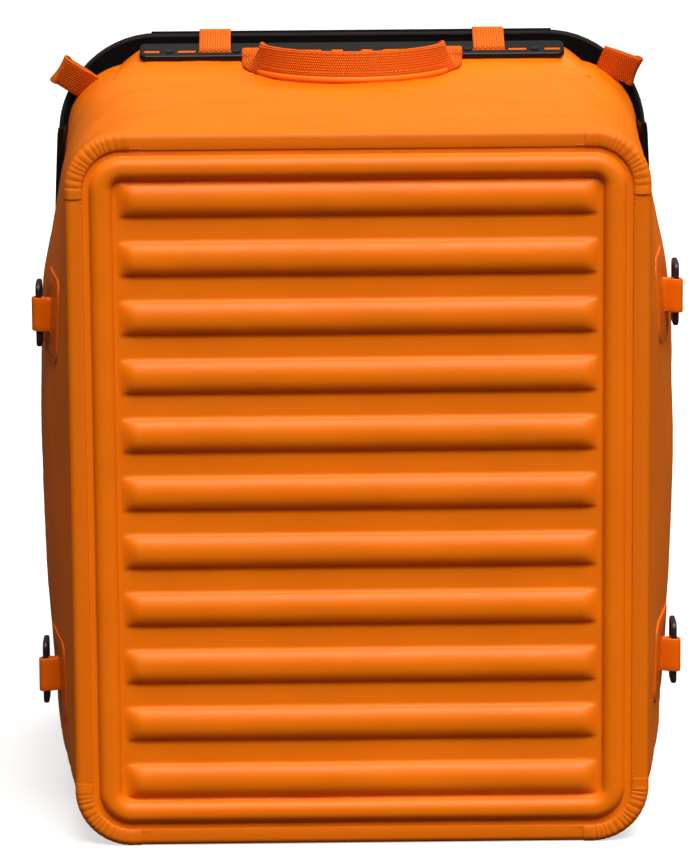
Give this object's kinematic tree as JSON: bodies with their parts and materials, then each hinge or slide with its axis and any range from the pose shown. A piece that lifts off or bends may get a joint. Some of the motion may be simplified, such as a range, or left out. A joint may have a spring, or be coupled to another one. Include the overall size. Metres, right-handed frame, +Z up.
{
  "type": "backpack",
  "caption": "Box-shaped hiking backpack with a moulded ribbed front, slotted lashing rails, a carry handle, a zipped back panel and a padded shoulder harness.",
  "frame": {"origin": "on the ground, under the middle of the pack's whole box", "axes": "+X to the right as seen from the moulded front face, +Y from the front face towards the harness, +Z up"},
  "size_m": [0.4592, 0.425, 0.527],
  "materials": {
    "moulded_panel": "satin laminated fabric over moulded foam",
    "body_fabric": "coated fabric",
    "binding_tape": "woven binding tape",
    "orange_webbing": "woven webbing",
    "laminated_tab": "smooth laminated webbing",
    "black_fabric": "woven fabric",
    "black_webbing": "woven webbing",
    "padding": "spacer mesh over foam",
    "rail_plastic": "glossy moulding",
    "hardware_plastic": "moulded",
    "board_plastic": "sheet",
    "zip_tape": "coil zip",
    "aluminium": "satin",
    "slider_metal": "painted"
  },
  "bodies": {
    "body": {"anchor_band_left": "orange_webbing", "anchor_band_right": "orange_webbing", "body_wall": "body_fabric", "corner_loops": "orange_webbing", "front_board": "board_plastic", "front_panel": "moulded_panel", "hinge_gusset": "black_fabric", "rail_bed": "body_fabric", "rail_rivets": "slider_metal", "rim_frame": "black_fabric", "seam_tape_bottom": "binding_tape", "seam_tape_corners": "binding_tape", "seam_tape_left": "binding_tape", "seam_tape_right": "binding_tape", "seam_tape_top": "binding_tape", "side_patches": "body_fabric", "side_rail_left": "rail_plastic", "side_rail_right": "rail_plastic", "side_tabs": "laminated_tab", "top_rail": "rail_plastic", "wall_board_bottom": "board_plastic", "wall_board_left": "board_plastic", "wall_board_right": "board_plastic", "wall_board_top": "board_plastic", "zip_chain_body": "zip_tape"},
    "lid": {"back_pad_lower_left": "padding", "back_pad_lower_right": "padding", "back_pad_upper_left": "padding", "back_pad_upper_right": "padding", "lid_board": "board_plastic", "lid_cover": "black_fabric", "lid_foam": "padding", "lid_stays": "aluminium", "strap_anchor_left": "black_webbing", "strap_anchor_right": "black_webbing", "strap_yoke_left": "black_webbing", "strap_yoke_right": "black_webbing", "zip_chain_lid": "zip_tape"},
    "handle": {"handle": "orange_webbing"},
    "zip_slider": {"zip_slider": "slider_metal"},
    "zip_pull": {"zip_pull": "slider_metal"},
    "strap_left": {"strap_pad_left": "padding", "strap_adjuster_left": "hardware_plastic", "strap_webbing_left": "black_webbing", "strap_hook_left": "hardware_plastic", "sternum_webbing_left": "black_webbing", "sternum_socket": "hardware_plastic"},
    "strap_right": {"strap_pad_right": "padding", "strap_adjuster_right": "hardware_plastic", "strap_webbing_right": "black_webbing", "strap_hook_right": "hardware_plastic"},
    "sternum_plug": {"sternum_plug": "hardware_plastic", "sternum_webbing_right": "black_webbing"},
    "side_ring_left_lower": {"side_ring_left_lower": "hardware_plastic"},
    "side_ring_left_upper": {"side_ring_left_upper": "hardware_plastic"},
    "side_ring_right_lower": {"side_ring_right_lower": "hardware_plastic"},
    "side_ring_right_upper": {"side_ring_right_upper": "hardware_plastic"}
  },
  "joints": [
    {"name": "lid_hinge", "type": "hinge", "parent": "body", "child": "lid", "pos_m": [0, 0.1665, 0.5245], "axis": [1, 0, 0], "range_deg": [0, 110]},
    {"name": "handle_lift", "type": "hinge", "parent": "body", "child": "handle", "pos_m": [0, 0.12408, 0.51074], "axis": [-1, 0, 0], "range_deg": [0, 90]},
    {"name": "zip_travel", "type": "slide", "parent": "body", "child": "zip_slider", "axis": [0.012, 0, -0.9999], "range_m": [0, 0.14]},
    {"name": "zip_pull_swing", "type": "hinge", "parent": "zip_slider", "child": "zip_pull", "pos_m": [0.2187, 0.1695, 0.44], "axis": [0, -1, 0], "range_deg": [0, 110]},
    {"name": "strap_left_swing", "type": "hinge", "parent": "lid", "child": "strap_left", "pos_m": [-0.102, 0.1985, 0.488], "axis": [1, 0, 0], "range_deg": [0, 60]},
    {"name": "strap_right_swing", "type": "hinge", "parent": "lid", "child": "strap_right", "pos_m": [0.102, 0.1985, 0.488], "axis": [1, 0, 0], "range_deg": [0, 60]},
    {"name": "sternum_release", "type": "slide", "parent": "strap_right", "child": "sternum_plug", "axis": [1, 0, 0], "range_m": [0, 0.025]},
    {"name": "ring_left_lower_swing", "type": "hinge", "parent": "body", "child": "side_ring_left_lower", "pos_m": [-0.2235, -0.1205, 0.1034], "axis": [0, 0, 1], "range_deg": [0, 150]},
    {"name": "ring_left_upper_swing", "type": "hinge", "parent": "body", "child": "side_ring_left_upper", "pos_m": [-0.2235, -0.1205, 0.3621], "axis": [0, 0, 1], "range_deg": [0, 150]},
    {"name": "ring_right_lower_swing", "type": "hinge", "parent": "body", "child": "side_ring_right_lower", "pos_m": [0.2235, -0.1205, 0.1133], "axis": [0, 0, -1], "range_deg": [0, 150]},
    {"name": "ring_right_upper_swing", "type": "hinge", "parent": "body", "child": "side_ring_right_upper", "pos_m": [0.2235, -0.1205, 0.373], "axis": [0, 0, -1], "range_deg": [0, 150]}
  ],
  "couplings": [
    {"joint": "strap_right_swing", "follows": "strap_left_swing", "ratio": 1}
  ]
}
